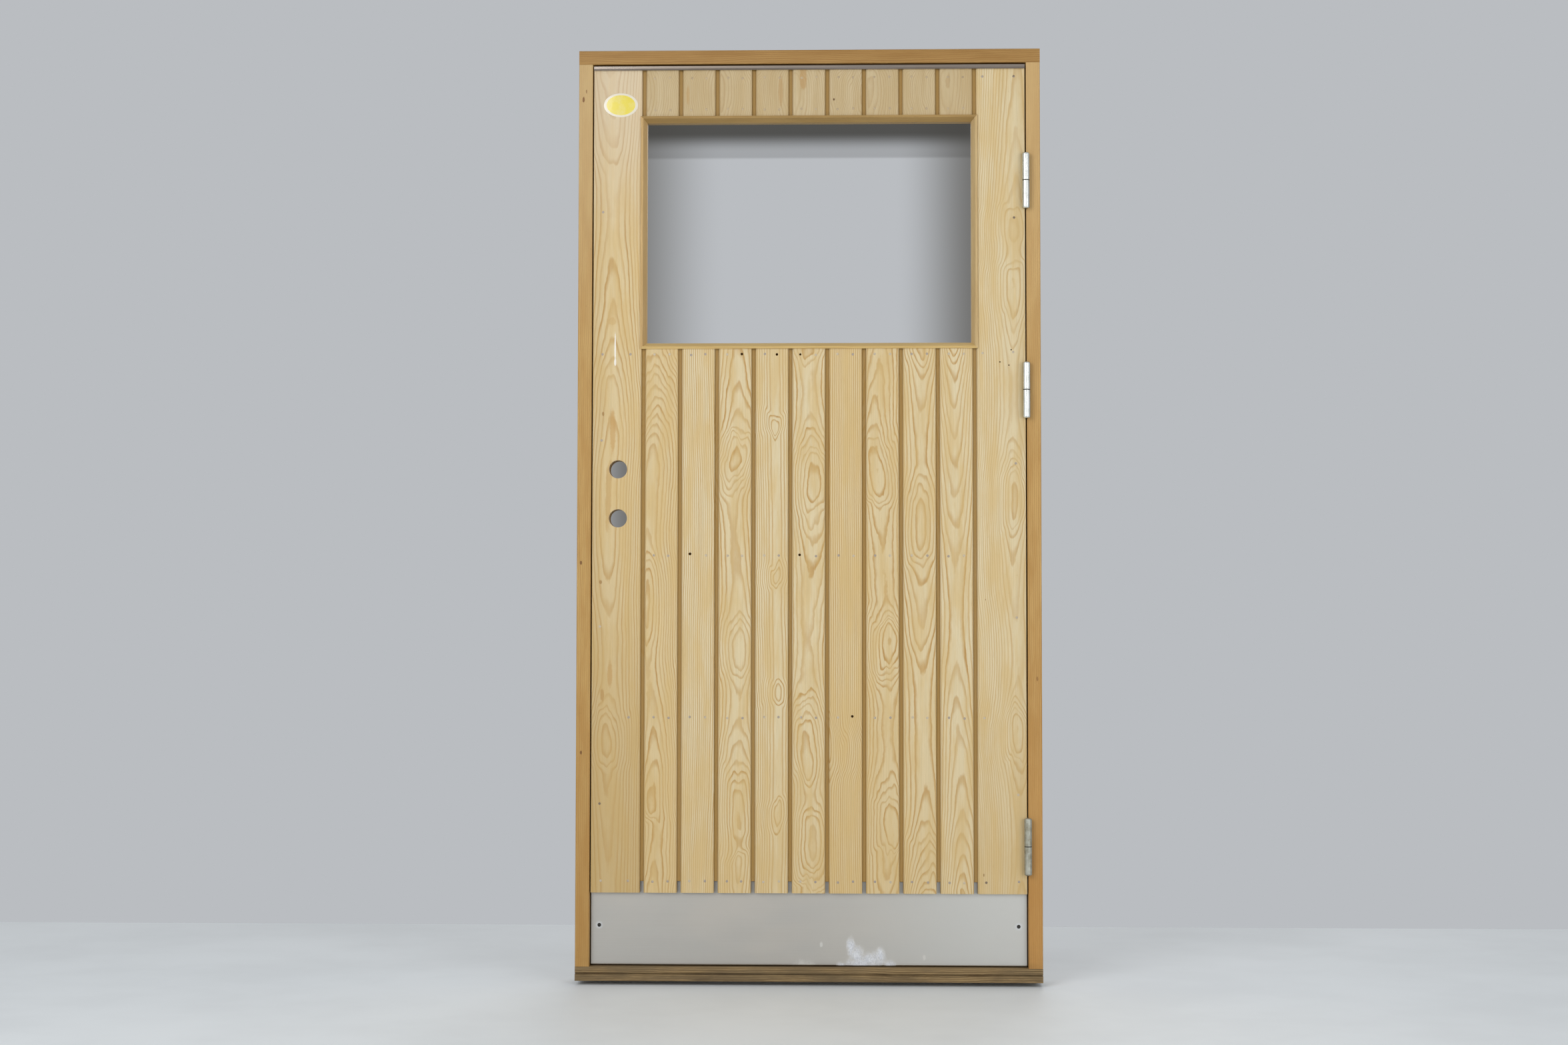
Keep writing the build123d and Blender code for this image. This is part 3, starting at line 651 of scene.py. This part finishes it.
kickPlate = {
    "base": colour255(201, 200, 195), "cool": colour255(186, 183, 177), "warm": colour255(195, 189, 180),
    # brightFrom: a painted sheen brightens the plate towards the right
    "cloudScale": (2.2, 2.2, 5.0), "brightFrom": (-0.05, 0.4),
    "rollScale": (5.0, 200.0, 420.0), "rollShare": 0.12, "rollRough": (0.405, 0.44), "rollBump": 0.02,
    # the pale smear and the scrapes: middle and half size of each oval
    "smear": colour255(220, 223, 228), "smearDim": colour255(190, 194, 201),
    "smearShare": 0.95, "smearRough": 0.4,
    "lobes": (
        ((0.090, 0.072), (0.014, 0.030)), ((0.103, 0.054), (0.024, 0.030)), ((0.152, 0.056), (0.016, 0.022)),
        ((0.134, 0.044), (0.042, 0.026)), ((0.112, 0.036), (0.062, 0.020)), ((0.172, 0.034), (0.018, 0.014)),
        ((0.070, 0.033), (0.016, 0.012)),
    ),
    "crustScale": (420.0, 420.0, 260.0), "tornScale": (75.0, 75.0, 60.0), "tornReach": 2.4,
    "scrape": colour255(214, 212, 206), "scrapeShare": 0.9,
    "scrapes": (((-0.010, 0.030), (0.036, 0.022)), ((0.027, 0.077), (0.005, 0.008)),
                ((0.245, 0.050), (0.005, 0.009))),
    # painted shadow under the boards' ends
    "boardShadow": colour255(150, 145, 136), "boardShadowRange": (0.178, 0.1895), "boardShadowShare": 0.45,
    # a painted highlight rings each screw's dimple
    "screws": ((-0.445, 0.116), (0.445, 0.116)), "haloRadius": 0.010, "haloShare": 0.4,
    "bump": 0.3, "bumpDepth": 0.0006,
}


def kickPlateMetal():
    look = kickPlate
    material, tree, shader, place = startMaterial("kickPlateMetal")
    spot = axes(tree, place)
    x, z = spot[0], spot[2]
    cloud = noise(tree, stretch(tree, place, look["cloudScale"]), 1.0, 3.0, 0.55)
    colour = blendColour(tree, spread(tree, cloud, 0.35, 0.65), look["cool"], look["warm"])
    roll = noise(tree, stretch(tree, place, look["rollScale"]), 1.0, 2.0, 0.6)
    colour = blendColour(tree, spread(tree, roll, 0.3, 0.7, 0.0, look["rollShare"]), colour, look["base"])
    # painted sheen: the plate brightens towards the right
    colour = blendColour(tree, spread(tree, x, *look["brightFrom"]), colour, look["base"])
    # painted shadow under the boards' ends
    boardShadow = spread(tree, z, *look["boardShadowRange"], 0.0, look["boardShadowShare"])
    colour = blendColour(tree, boardShadow, colour, look["boardShadow"])
    ragged = noise(tree, stretch(tree, place, look["tornScale"]), 1.0, 6.0, 0.78)
    ragged = calc(tree, "MULTIPLY", calc(tree, "SUBTRACT", ragged, 0.5), look["tornReach"])

    def patches(spots, edge):
        joined = 0.0
        for middle, size in spots:
            joined = calc(tree, "MAXIMUM", joined, ellipseMask(tree, x, z, middle, size, edge))
        return joined

    def broken(patch, low, high, share):
        # a patch with a torn edge
        torn = spread(tree, calc(tree, "ADD", patch, ragged), low, high)
        return calc(tree, "MULTIPLY", torn, spread(tree, patch, 0.0, 0.25, 0.0, share))

    # painted highlight on the dimple round each screw
    halos = patches([(screw, (look["haloRadius"], look["haloRadius"])) for screw in look["screws"]], 0.5)
    colour = blendColour(tree, calc(tree, "MULTIPLY", halos, look["haloShare"]), colour, look["smear"])
    scraped = broken(patches(look["scrapes"], 1.0), -0.1, 0.95, look["scrapeShare"])
    colour = blendColour(tree, scraped, colour, look["scrape"])
    smear = broken(patches(look["lobes"], 1.0), -0.1, 1.15, look["smearShare"])
    crust = noise(tree, stretch(tree, place, look["crustScale"]), 1.0, 4.0, 0.7)
    white = blendColour(tree, spread(tree, crust, 0.36, 0.66), look["smear"], look["smearDim"])
    colour = blendColour(tree, smear, colour, white)
    feed(tree, shader.inputs["Base Color"], colour)
    feed(tree, shader.inputs["Metallic"], calc(tree, "SUBTRACT", 1.0, smear))
    rough = spread(tree, roll, 0.2, 0.8, *look["rollRough"], "LINEAR")
    rough = calc(tree, "ADD", rough, calc(tree, "MULTIPLY", smear, look["smearRough"]))
    feed(tree, shader.inputs["Roughness"], rough)
    height = calc(tree, "ADD", smear, calc(tree, "MULTIPLY", roll, look["rollBump"]))
    addBump(tree, shader, height, look["bump"], look["bumpDepth"])
    return material


dress("kick_plate", kickPlateMetal())


def plainMetal(name, look):
    # worn plating: cloudy tone, fine scratches along the length
    material, tree, shader, place = startMaterial(name)
    cloud = spread(tree, noise(tree, place, look["cloudScale"], 4.0, 0.6), 0.35, 0.7)
    colour = blendColour(tree, cloud, look["bright"], look["dull"])
    if "rim" in look:
        # painted shade: a round knuckle darkens where it turns away
        facing = put(tree, "ShaderNodeLayerWeight")
        facing.inputs["Blend"].default_value = 0.5
        rim = spread(tree, facing.outputs["Facing"], *look["rimRange"], 0.0, look["rimShare"])
        colour = blendColour(tree, rim, colour, look["rim"])
    scratch = noise(tree, stretch(tree, place, look["scratch"]), 1.0, 2.0, 0.6)
    feed(tree, shader.inputs["Base Color"], colour)
    shader.inputs["Metallic"].default_value = look["metal"]
    rough = calc(tree, "ADD", spread(tree, cloud, 0.0, 1.0, look["rough"], look["rough"] + 0.15, "LINEAR"),
                 spread(tree, scratch, 0.3, 0.7, 0.0, 0.08, "LINEAR"))
    feed(tree, shader.inputs["Roughness"], rough)
    addBump(tree, shader, scratch, 0.12, 0.0002)
    return material


# the rim colour is painted shade on the knuckles' turned-away sides
hingeMetal = {"bright": colour255(231, 234, 230), "dull": colour255(202, 205, 199), "cloudScale": 60.0,
              "scratch": (500.0, 500.0, 40.0), "rough": 0.22, "metal": 0.85,
              "rim": colour255(100, 96, 80), "rimRange": (0.38, 0.85), "rimShare": 0.9}
agedMetal = {"bright": colour255(176, 176, 164), "dull": colour255(146, 143, 126), "cloudScale": 70.0,
             "scratch": (500.0, 500.0, 40.0), "rough": 0.45, "metal": 0.7}
railMetal = {"bright": colour255(174, 162, 152), "dull": colour255(148, 136, 124), "cloudScale": 3.0,
             "scratch": (8.0, 800.0, 800.0), "rough": 0.16, "metal": 1.0}
# the kick plate's screws: their dark colour is painted shade of the recess in each head
socketShadeMetal = {"bright": colour255(70, 68, 66), "dull": colour255(44, 42, 40), "cloudScale": 200.0,
             "scratch": (600.0, 600.0, 600.0), "rough": 0.5, "metal": 1.0}
screwMetal = {"bright": colour255(176, 174, 166), "dull": colour255(120, 116, 106), "cloudScale": 200.0,
              "scratch": (600.0, 600.0, 600.0), "rough": 0.38, "metal": 1.0}


def dressMetal():
    hinge = plainMetal("hingeSteel", hingeMetal)
    screws = plainMetal("screwSteel", screwMetal)
    aged = plainMetal("agedSteel", agedMetal)
    for place in ("upper", "middle", "lower"):
        for half in ("frame_half", "leaf_half", "pin"):
            dress("hinge_%s_%s" % (place, half), aged if place == "lower" else hinge)
    dress("kick_plate_screws", plainMetal("socketShadeSteel", socketShadeMetal))
    for group in ("hinge_screws_leaf", "hinge_screws_frame", "frame_corner_screws"):
        dress(group, screws)
    dress("drip_rail", plainMetal("dripRailMetal", railMetal))


dressMetal()


# rubber and plastic

def darkSoft(name, base, grainScale, rough, gloss=0.5):
    material, tree, shader, place = startMaterial(name)
    speck = noise(tree, place, grainScale, 3.0, 0.6)
    lighter = tuple(min(1.0, value * 1.8) for value in base[:3]) + (1.0,)
    feed(tree, shader.inputs["Base Color"], blendColour(tree, spread(tree, speck, 0.4, 0.7), base, lighter))
    feed(tree, shader.inputs["Roughness"], spread(tree, speck, 0.3, 0.7, rough, rough + 0.15, "LINEAR"))
    shader.inputs["Specular IOR Level"].default_value = gloss
    addBump(tree, shader, speck, 0.1, 0.0003)
    return material


sealRubber = darkSoft("sealRubber", colour255(38, 36, 34), 700.0, 0.6)
washerPlastic = darkSoft("washerPlastic", colour255(44, 42, 38), 900.0, 0.5)
for side in ("lock", "hinge", "head", "sill"):
    dress("weather_seal_" + side, sealRubber)
dress("hinge_washers", washerPlastic)
print("stage: metal and rubber dressed")


# small pieces on the leaf

def meshPiece(name, build, material, body):
    mesh = bpy.data.meshes.new(name)
    work = bmesh.new()
    build(work)
    bmesh.ops.recalc_face_normals(work, faces=work.faces)
    work.to_mesh(mesh)
    work.free()
    mesh.materials.append(material)
    piece = bpy.data.objects.new(name, mesh)
    bpy.context.scene.collection.objects.link(piece)
    for face in mesh.polygons:
        face.use_smooth = True
    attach(piece, body)


def button(work, centre, rings, sides):
    # a closed oval button about Y: rings are (half width, half height, y) from the front to the back
    turns = [2 * math.pi * step / sides for step in range(sides)]
    loops = [[work.verts.new((centre[0] + wide * math.cos(turn), y, centre[1] + tall * math.sin(turn)))
              for turn in turns] for wide, tall, y in rings]
    for front, back in zip(loops, loops[1:]):
        for step in range(sides):
            after = (step + 1) % sides
            work.faces.new((front[step], front[after], back[after], back[step]))
    work.faces.new(list(reversed(loops[0])))
    work.faces.new(loops[-1])


nails = {
    "radius": 0.0027, "rim": 0.8, "proud": 0.00004, "sunk": 0.0008, "sides": 14,
    "pitch": 0.016, "scatter": 0.0012, "seed": 5,
    "longRows": (1.332, 0.901, 0.557, 0.210), "shortRows": (1.930, 1.8615),
    "wideLock": ((-0.442, 1.640), (-0.442, 1.333), (-0.382, 1.333), (-0.443, 1.148),
                 (-0.445, 0.750), (-0.383, 0.557), (-0.444, 0.374), (-0.441, 0.211), (-0.383, 0.211)),
    "wideHinge": ((0.372, 1.930), (0.439, 1.930), (0.439, 1.625), (0.371, 1.334), (0.436, 1.336),
                  (0.441, 1.098), (0.442, 0.770), (0.373, 0.557), (0.444, 0.395), (0.376, 0.210),
                  (0.445, 0.212)),
}
# dark discs on the board face: painted shade of open nail holes
openHoles = {
    "lift": 0.00008, "sunk": 0.0004, "sides": 14, "clear": 0.006, "tone": colour255(42, 26, 6), "gloss": 0.05,
    # each with its own radius
    "spots": ((-0.253, 0.905, 0.0030), (-0.019, 0.903, 0.0028), (0.093, 0.560, 0.0028),
              (-0.143, 1.333, 0.0028), (-0.068, 1.332, 0.0028), (-0.018, 1.332, 0.0024),
              (0.432, 1.341, 0.0015), (0.408, 1.315, 0.0015), (0.427, 1.308, 0.0014)),
}


def nailPlaces():
    rng = random.Random(nails["seed"])
    jitter = nails["scatter"]
    spots = []
    for number in range(1, 10):
        for family, rows in (("long", nails["longRows"]), ("short", nails["shortRows"])):
            low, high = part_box("board_%s_%d" % (family, number))
            centre = (low.x + boardTongue + high.x) / 2
            for z in rows:
                for way in (-1, 1):
                    spots.append((centre + way * nails["pitch"] + rng.uniform(-jitter, jitter),
                                  z + rng.uniform(-jitter, jitter)))
    spots += list(nails["wideLock"]) + list(nails["wideHinge"])

    def isClear(spot):
        return all(math.hypot(spot[0] - hole[0], spot[1] - hole[1]) > openHoles["clear"]
                   for hole in openHoles["spots"])

    # no nail where a hole is left open
    return [spot for spot in spots if isClear(spot)]


def buildNails(work):
    radius = nails["radius"]
    inner = radius * nails["rim"]
    rings = [(inner, inner, leafFace - nails["proud"]), (radius, radius, leafFace),
             (radius, radius, leafFace + nails["sunk"])]
    for spot in nailPlaces():
        button(work, spot, rings, nails["sides"])


def buildHoles(work):
    front = leafFace - openHoles["lift"]
    back = leafFace + openHoles["sunk"]
    for x, z, radius in openHoles["spots"]:
        button(work, (x, z), [(radius, radius, front), (radius, radius, back)], openHoles["sides"])


nailLook = {
    "pale": colour255(190, 176, 153), "grey": colour255(162, 150, 137), "dark": colour255(120, 104, 88),
    "pickScale": 23.0, "greyFrom": (0.42, 0.50), "darkFrom": (0.68, 0.72),
    "faint": colour255(180, 158, 122), "faintShare": 0.75, "faintHeight": (1.80, 1.82), "faintReach": 0.36,
    "metal": 0.35, "roughScale": 900.0, "rough": (0.45, 0.6),
}


def nailSteel():
    # flush heads, each of its own tone: most of them pale, a few dark
    look = nailLook
    material, tree, shader, place = startMaterial("nailSteel")
    pick = noise(tree, place, look["pickScale"], 0.0, 0.5)
    colour = blendColour(tree, spread(tree, pick, *look["greyFrom"]), look["pale"], look["grey"])
    colour = blendColour(tree, spread(tree, pick, *look["darkFrom"]), colour, look["dark"])
    # the heads in the short boards hardly show
    spot = axes(tree, place)
    high = spread(tree, spot[2], *look["faintHeight"], 0.0, look["faintShare"])
    within = calc(tree, "LESS_THAN", calc(tree, "ABSOLUTE", spot[0]), look["faintReach"])
    colour = blendColour(tree, calc(tree, "MULTIPLY", high, within), colour, look["faint"])
    feed(tree, shader.inputs["Base Color"], colour)
    shader.inputs["Metallic"].default_value = look["metal"]
    rough = spread(tree, noise(tree, place, look["roughScale"]), 0.3, 0.7, *look["rough"])
    feed(tree, shader.inputs["Roughness"], rough)
    return material


meshPiece("boardNails", buildNails, nailSteel(), "leaf")
holeShade = darkSoft("holeShade", openHoles["tone"], 800.0, 0.8, openHoles["gloss"])
meshPiece("openNailHoles", buildHoles, holeShade, "leaf")


sticker = {
    "place": (-0.4045, 1.8718), "size": (0.0370, 0.0260), "thick": 0.00025, "sides": 48,
    # the front's share of the width, where its edge turns, and how far it sits in the board
    "front": 0.98, "turn": 0.6, "sunk": 0.0001,
    "yellow": colour255(226, 208, 78), "white": colour255(224, 216, 198), "rim": 0.86, "rimEdge": 0.06,
    "fadeScale": 60.0, "fade": 0.25, "rough": (0.28, 0.4), "coat": 0.3,
}


def stickerVinyl():
    material, tree, shader, place = startMaterial("stickerVinyl")
    spot = axes(tree, place)
    size = [value * sticker["rim"] for value in sticker["size"]]
    inside = ellipseMask(tree, spot[0], spot[2], sticker["place"], size, sticker["rimEdge"])
    fade = spread(tree, noise(tree, place, sticker["fadeScale"], 3.0, 0.6), 0.4, 0.8, 0.0, sticker["fade"])
    yellow = blendColour(tree, fade, sticker["yellow"], sticker["white"])
    feed(tree, shader.inputs["Base Color"], blendColour(tree, inside, sticker["white"], yellow))
    feed(tree, shader.inputs["Roughness"], spread(tree, fade, 0.0, sticker["fade"], *sticker["rough"]))
    shader.inputs["Coat Weight"].default_value = sticker["coat"]
    return material


def buildSticker(work):
    wide, tall = sticker["size"]
    front, thick = sticker["front"], sticker["thick"]
    rings = [(front * wide, front * tall, leafFace - thick), (wide, tall, leafFace - thick * sticker["turn"]),
             (wide, tall, leafFace + sticker["sunk"])]
    button(work, sticker["place"], rings, sticker["sides"])


meshPiece("blankSticker", buildSticker, stickerVinyl(), "leaf")
print("stage: small pieces made")


# studio

studio = {
    "floor": colour255(235, 241, 245), "floorDrop": 0.009, "floorCloud": 0.94, "floorRough": 0.55,
    "wall": colour255(186, 189, 193), "wallAway": 0.95, "wallSize": 14.0, "ambient": 0.42,
    # the door's soft shade on the backdrop, open at the window: each edge has its place and its softness
    "shade": {"left": (-0.54, 0.07), "right": (0.49, 0.07), "foot": (0.10, 0.07), "head": (2.15, 0.07)},
    "shadeWindow": {"left": (-0.376, 0.15), "right": (0.314, 0.114), "foot": (1.36, 0.075),
                    "head": (2.10, 0.05)},
    "shadeTint": colour255(106, 105, 102), "shadeShare": 0.94,
    # under the window's head the shade starts at a sharp edge and deepens upwards
    "headShade": {"left": (-0.50, 0.07), "right": (0.45, 0.07), "foot": (1.956, 0.004),
                  "head": (2.09, 0.05)},
    "headDeep": {"left": (-0.50, 0.07), "right": (0.45, 0.07), "foot": (1.9975, 0.0245),
                 "head": (2.09, 0.05)},
    "headTint": colour255(72, 71, 68), "headShare": 0.295, "deepShare": 0.66,
    "cameraPlace": (0.0873, -5.0128, 0.7522), "cameraDegrees": (-1.611, 2.533, 0.062), "lens": 53.571,
}


def plane(name, corners, material):
    mesh = bpy.data.meshes.new(name)
    mesh.from_pydata(corners, [], [(0, 1, 2, 3)])
    mesh.materials.append(material)
    piece = bpy.data.objects.new(name, mesh)
    bpy.context.scene.collection.objects.link(piece)
    return piece


def floorPaint():
    material, tree, shader, place = startMaterial("floorPaint")
    cloud = noise(tree, place, 2.0, 4.0, 0.6)
    darker = tuple(value * studio["floorCloud"] for value in studio["floor"][:3]) + (1.0,)
    colour = blendColour(tree, spread(tree, cloud, 0.35, 0.7), studio["floor"], darker)
    feed(tree, shader.inputs["Base Color"], colour)
    shader.inputs["Roughness"].default_value = studio["floorRough"]
    return material


def wallPaint():
    # seen by the camera from the front alone, so that it hides nothing from behind
    material = bpy.data.materials.new("wallPaint")
    material.use_nodes = True
    tree = material.node_tree
    tree.nodes.remove(tree.nodes["Principled BSDF"])
    glow = put(tree, "ShaderNodeEmission")
    spot = axes(tree, put(tree, "ShaderNodeTexCoord").outputs["Object"])

    def within(area):
        # 1 inside the area's four soft edges, 0 outside
        inside = 1.0
        for axis, near, far in ((0, "left", "right"), (2, "foot", "head")):
            for (place, soft), outside in ((area[near], 0.0), (area[far], 1.0)):
                edge = spread(tree, spot[axis], place - soft, place + soft, outside, 1.0 - outside)
                inside = calc(tree, "MULTIPLY", inside, edge)
        return inside

    opaque = calc(tree, "SUBTRACT", 1.0, within(studio["shadeWindow"]))
    shade = calc(tree, "MULTIPLY", within(studio["shade"]), opaque)
    shade = calc(tree, "MULTIPLY", shade, studio["shadeShare"])
    colour = blendColour(tree, shade, studio["wall"], studio["shadeTint"])
    head = calc(tree, "ADD", calc(tree, "MULTIPLY", within(studio["headShade"]), studio["headShare"]),
                calc(tree, "MULTIPLY", within(studio["headDeep"]), studio["deepShare"]))
    colour = blendColour(tree, head, colour, studio["headTint"])
    feed(tree, glow.inputs["Color"], colour)
    clear = put(tree, "ShaderNodeBsdfTransparent")
    mix = put(tree, "ShaderNodeMixShader")
    back = put(tree, "ShaderNodeNewGeometry").outputs["Backfacing"]
    feed(tree, mix.inputs[0], back)
    feed(tree, mix.inputs[1], glow.outputs[0])
    feed(tree, mix.inputs[2], clear.outputs[0])
    feed(tree, tree.nodes["Material Output"].inputs["Surface"], mix.outputs[0])
    return material


def buildStudio():
    size = studio["wallSize"]
    away = studio["wallAway"]
    # the sill stands a little clear of the floor, over a dark gap
    floor = cadBox[0][2] - studio["floorDrop"]
    level = [(-size, -size, floor), (size, -size, floor), (size, size, floor), (-size, size, floor)]
    plane("floor", level, floorPaint())
    upright = [(-size, away, floor), (size, away, floor), (size, away, size), (-size, away, size)]
    wall = plane("wall", upright, wallPaint())
    wall.visible_diffuse = False
    wall.visible_shadow = False
    wall.visible_glossy = False


buildStudio()

lamps = {
    "key": {"place": (-2.3, -4.0, 2.4), "size": 2.4, "power": 94.0},
    "fill": {"place": (2.6, -3.8, 1.4), "size": 2.4, "power": 60.0},
    "back": {"place": (0.6, 4.2, 3.6), "size": 2.6, "power": 45.0},
}
lampAim = (0.0, 0.0, 1.0)


def buildLamps():
    for name, lamp in lamps.items():
        data = bpy.data.lights.new(name, "AREA")
        data.shape = "SQUARE"
        data.size = lamp["size"]
        data.energy = lamp["power"]
        item = bpy.data.objects.new(name, data)
        item.location = lamp["place"]
        aim = Vector(lampAim) - Vector(lamp["place"])
        item.rotation_euler = aim.to_track_quat("-Z", "Y").to_euler()
        bpy.context.scene.collection.objects.link(item)


def buildWorld():
    world = bpy.data.worlds.new("studioWorld")
    world.use_nodes = True
    bpy.context.scene.world = world
    tree = world.node_tree
    sky = tree.nodes["Background"]
    path = put(tree, "ShaderNodeLightPath")
    seen = calc(tree, "MAXIMUM", path.outputs["Is Camera Ray"],
                calc(tree, "MAXIMUM", path.outputs["Is Glossy Ray"], path.outputs["Is Transmission Ray"]))
    ambient = studio["ambient"]
    grey = (ambient, ambient, ambient, 1.0)
    feed(tree, sky.inputs["Color"], blendColour(tree, seen, grey, studio["wall"]))


def buildCamera():
    data = bpy.data.cameras.new("photoCamera")
    data.sensor_fit = "HORIZONTAL"
    data.sensor_width = 36.0
    data.lens = studio["lens"]
    camera = bpy.data.objects.new("photoCamera", data)
    bpy.context.scene.collection.objects.link(camera)
    yaw, pitch, roll = (math.radians(value) for value in studio["cameraDegrees"])
    look = Vector((math.sin(yaw) * math.cos(pitch), math.cos(yaw) * math.cos(pitch), math.sin(pitch)))
    right = Vector((math.cos(yaw), -math.sin(yaw), 0.0))
    up = right.cross(look)
    tiltedRight = right * math.cos(roll) + up * math.sin(roll)
    tiltedUp = up * math.cos(roll) - right * math.sin(roll)
    turn = Matrix((tiltedRight, tiltedUp, -look)).transposed().to_4x4()
    camera.matrix_world = Matrix.Translation(studio["cameraPlace"]) @ turn
    bpy.context.scene.camera = camera


buildLamps()
buildWorld()
buildCamera()
bpy.context.scene.view_settings.view_transform = "Standard"
print("stage: studio ready")
